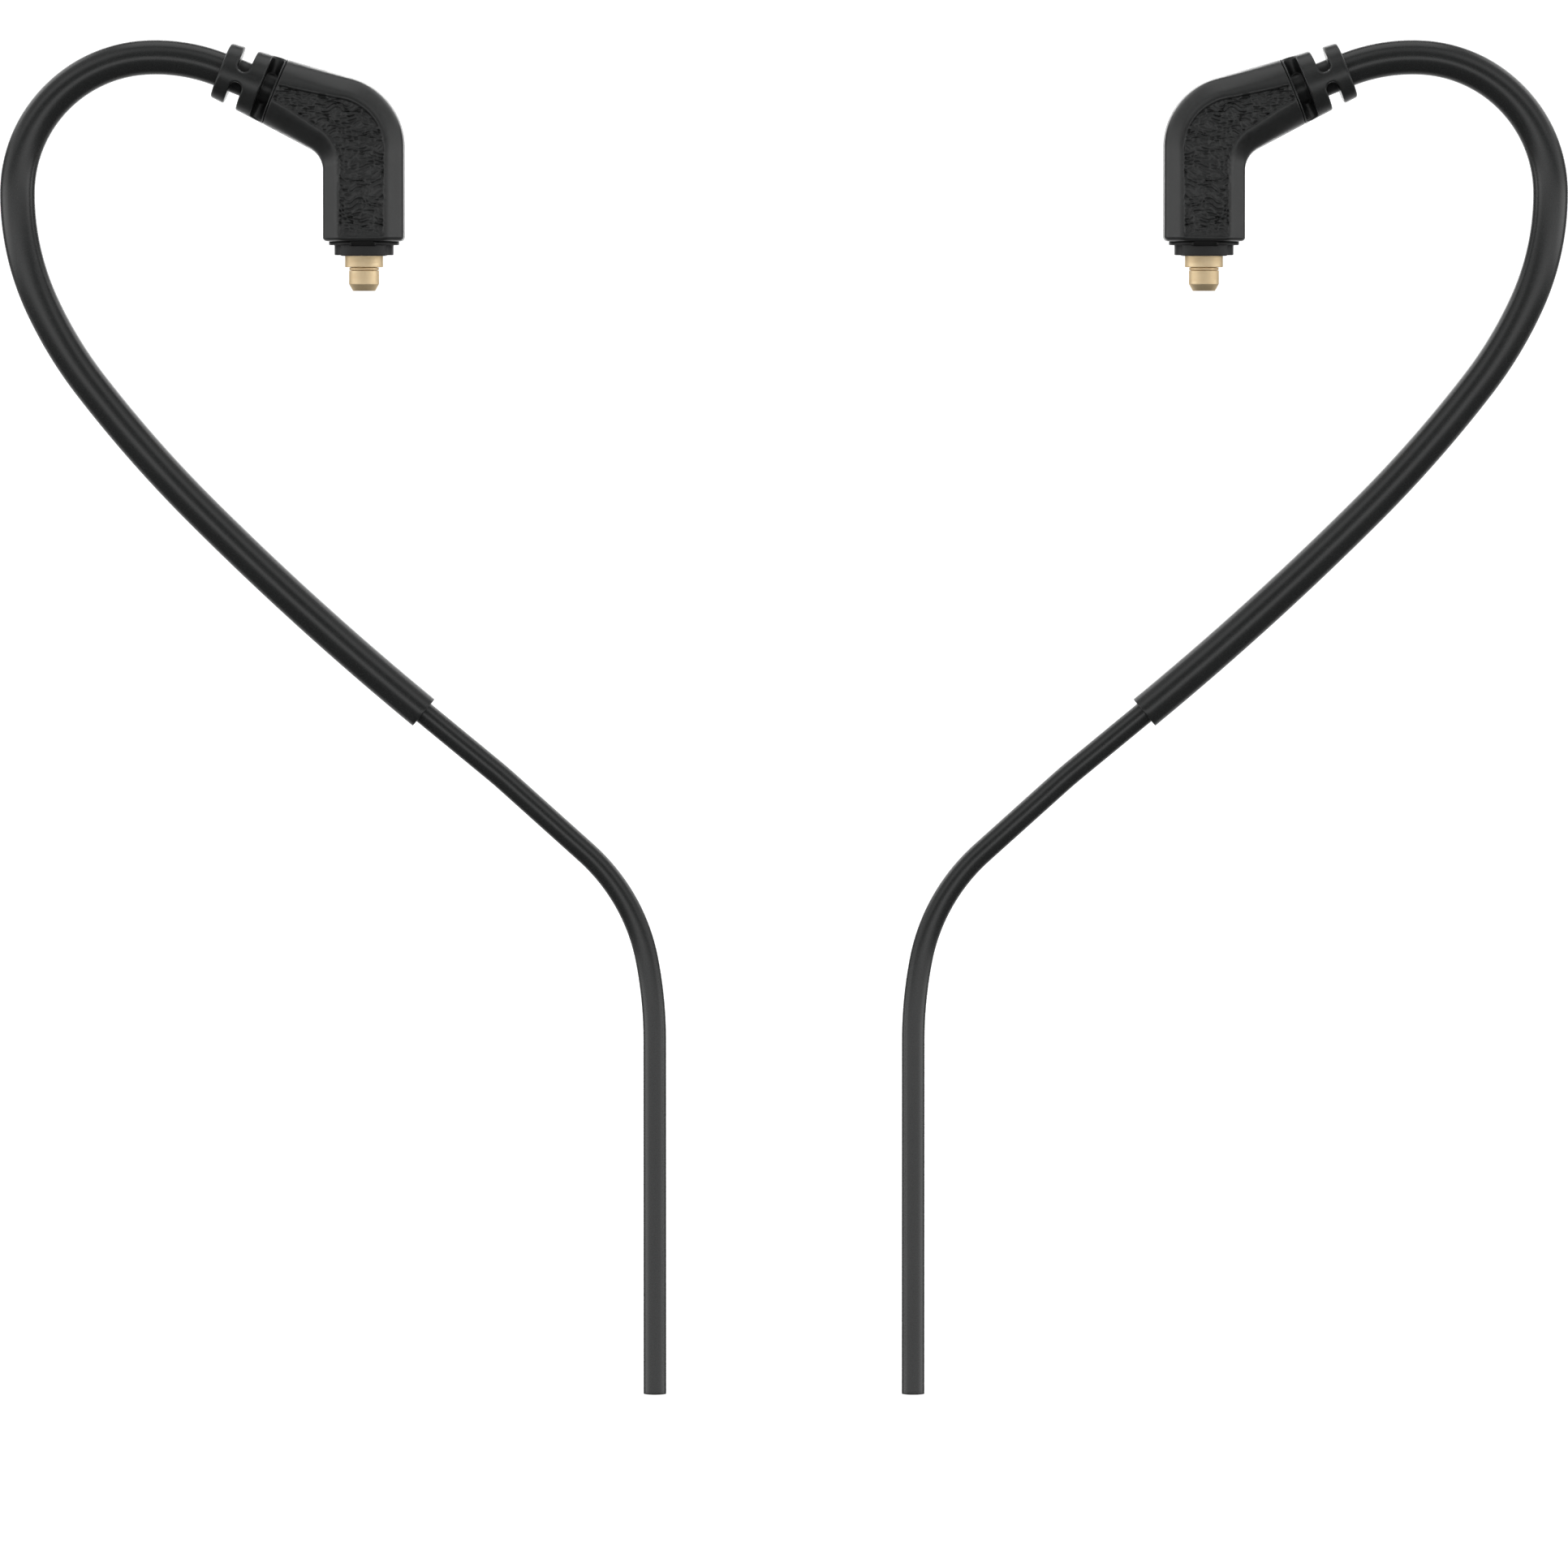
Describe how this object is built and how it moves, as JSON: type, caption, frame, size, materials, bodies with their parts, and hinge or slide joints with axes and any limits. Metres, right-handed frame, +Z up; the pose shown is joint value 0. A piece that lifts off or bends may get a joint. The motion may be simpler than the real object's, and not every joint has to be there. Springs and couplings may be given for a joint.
{
  "type": "in-ear monitor cable arms",
  "caption": "Mirror pair of detachable over-ear cable arms for in-ear monitors: angled plugs, slotted strain reliefs, preformed ear-hook tubes and hanging cables.",
  "frame": {"origin": "midway between the cut ends of the two cables, at their lower faces", "axes": "+Z up along the hanging cables, front towards -Y, left arm towards -X"},
  "size_m": [0.1252, 0.0064, 0.1084],
  "materials": {
    "cable_jacket": "soft satin",
    "hook_tube": "soft satin",
    "strain_relief": "soft matte",
    "plug_housing": "fine grain front panel, smooth satin edges",
    "plug_collar": "satin",
    "gold_plate": "satin gold plating",
    "dielectric": "waxy",
    "inner_mould": "matte",
    "solder": "satin",
    "litz_wire": "lacquered copper",
    "aramid_yarn": "fibrous"
  },
  "bodies": {
    "root": {"left_cable_tail_jacket": "cable_jacket", "left_cable_tail_wires": "litz_wire", "left_cable_tail_yarns": "aramid_yarn", "right_cable_tail_jacket": "cable_jacket", "right_cable_tail_wires": "litz_wire", "right_cable_tail_yarns": "aramid_yarn"},
    "left_cable": {"left_cable_jacket": "cable_jacket", "left_cable_wires": "litz_wire", "left_cable_yarns": "aramid_yarn"},
    "left_hook_lower": {"left_hook_tube_lower": "hook_tube", "left_hook_lower_jacket": "cable_jacket", "left_hook_lower_wires": "litz_wire", "left_hook_lower_yarns": "aramid_yarn"},
    "left_hook_upper": {"left_hook_tube_upper": "hook_tube", "left_hook_upper_jacket": "cable_jacket", "left_hook_upper_wires": "litz_wire", "left_hook_upper_yarns": "aramid_yarn", "left_relief_tip_ring": "strain_relief"},
    "left_relief": {"left_relief_middle_ring": "strain_relief"},
    "left_plug": {"left_relief_base": "strain_relief", "left_front_shell": "plug_housing", "left_rear_shell": "plug_housing", "left_inner_mould": "inner_mould", "left_plug_collar": "plug_collar", "left_contact_barrel": "gold_plate", "left_snap_ring": "gold_plate", "left_dielectric": "dielectric", "left_centre_pin": "gold_plate", "left_plug_wires": "litz_wire", "left_solder_joints": "solder"},
    "right_cable": {"right_cable_jacket": "cable_jacket", "right_cable_wires": "litz_wire", "right_cable_yarns": "aramid_yarn"},
    "right_hook_lower": {"right_hook_tube_lower": "hook_tube", "right_hook_lower_jacket": "cable_jacket", "right_hook_lower_wires": "litz_wire", "right_hook_lower_yarns": "aramid_yarn"},
    "right_hook_upper": {"right_hook_tube_upper": "hook_tube", "right_hook_upper_jacket": "cable_jacket", "right_hook_upper_wires": "litz_wire", "right_hook_upper_yarns": "aramid_yarn", "right_relief_tip_ring": "strain_relief"},
    "right_relief": {"right_relief_middle_ring": "strain_relief"},
    "right_plug": {"right_relief_base": "strain_relief", "right_front_shell": "plug_housing", "right_rear_shell": "plug_housing", "right_inner_mould": "inner_mould", "right_plug_collar": "plug_collar", "right_contact_barrel": "gold_plate", "right_snap_ring": "gold_plate", "right_dielectric": "dielectric", "right_centre_pin": "gold_plate", "right_plug_wires": "litz_wire", "right_solder_joints": "solder"}
  },
  "joints": [
    {"name": "left_cable_spread", "type": "hinge", "parent": "root", "child": "left_cable", "pos_m": [-0.01098, 0, 0.03489], "axis": [0, -1, 0], "range_deg": [-15, 25], "stiffness_Nm_per_rad": 0.2},
    {"name": "left_cable_sway", "type": "hinge", "parent": "left_cable", "child": "left_hook_lower", "pos_m": [-0.02765, 0, 0.05372], "axis": [0.6361, 0, 0.7716], "range_deg": [-30, 30], "stiffness_Nm_per_rad": 0.2},
    {"name": "left_hook_bend", "type": "hinge", "parent": "left_hook_lower", "child": "left_hook_upper", "pos_m": [-0.06119, 0, 0.09623], "axis": [0, -1, 0], "range_deg": [-12, 20], "stiffness_Nm_per_rad": 0.2},
    {"name": "left_relief_bend", "type": "hinge", "parent": "left_hook_upper", "child": "left_relief", "pos_m": [-0.04334, 0, 0.10536], "axis": [0, -1, 0], "range_deg": [-12, 12], "stiffness_Nm_per_rad": 0.1},
    {"name": "left_relief_tilt", "type": "hinge", "parent": "left_relief", "child": "left_plug", "pos_m": [-0.0412, 0, 0.1045], "axis": [-0.3746, 0, -0.9272], "range_deg": [-12, 12], "stiffness_Nm_per_rad": 0.1},
    {"name": "right_cable_spread", "type": "hinge", "parent": "root", "child": "right_cable", "pos_m": [0.01098, 0, 0.03489], "axis": [0, 1, 0], "range_deg": [-15, 25], "stiffness_Nm_per_rad": 0.2},
    {"name": "right_cable_sway", "type": "hinge", "parent": "right_cable", "child": "right_hook_lower", "pos_m": [0.02765, 0, 0.05372], "axis": [0.6361, 0, -0.7716], "range_deg": [-30, 30], "stiffness_Nm_per_rad": 0.2},
    {"name": "right_hook_bend", "type": "hinge", "parent": "right_hook_lower", "child": "right_hook_upper", "pos_m": [0.06119, 0, 0.09623], "axis": [0, 1, 0], "range_deg": [-12, 20], "stiffness_Nm_per_rad": 0.2},
    {"name": "right_relief_bend", "type": "hinge", "parent": "right_hook_upper", "child": "right_relief", "pos_m": [0.04334, 0, 0.10536], "axis": [0, 1, 0], "range_deg": [-12, 12], "stiffness_Nm_per_rad": 0.1},
    {"name": "right_relief_tilt", "type": "hinge", "parent": "right_relief", "child": "right_plug", "pos_m": [0.0412, 0, 0.1045], "axis": [-0.3746, 0, 0.9272], "range_deg": [-12, 12], "stiffness_Nm_per_rad": 0.1}
  ]
}
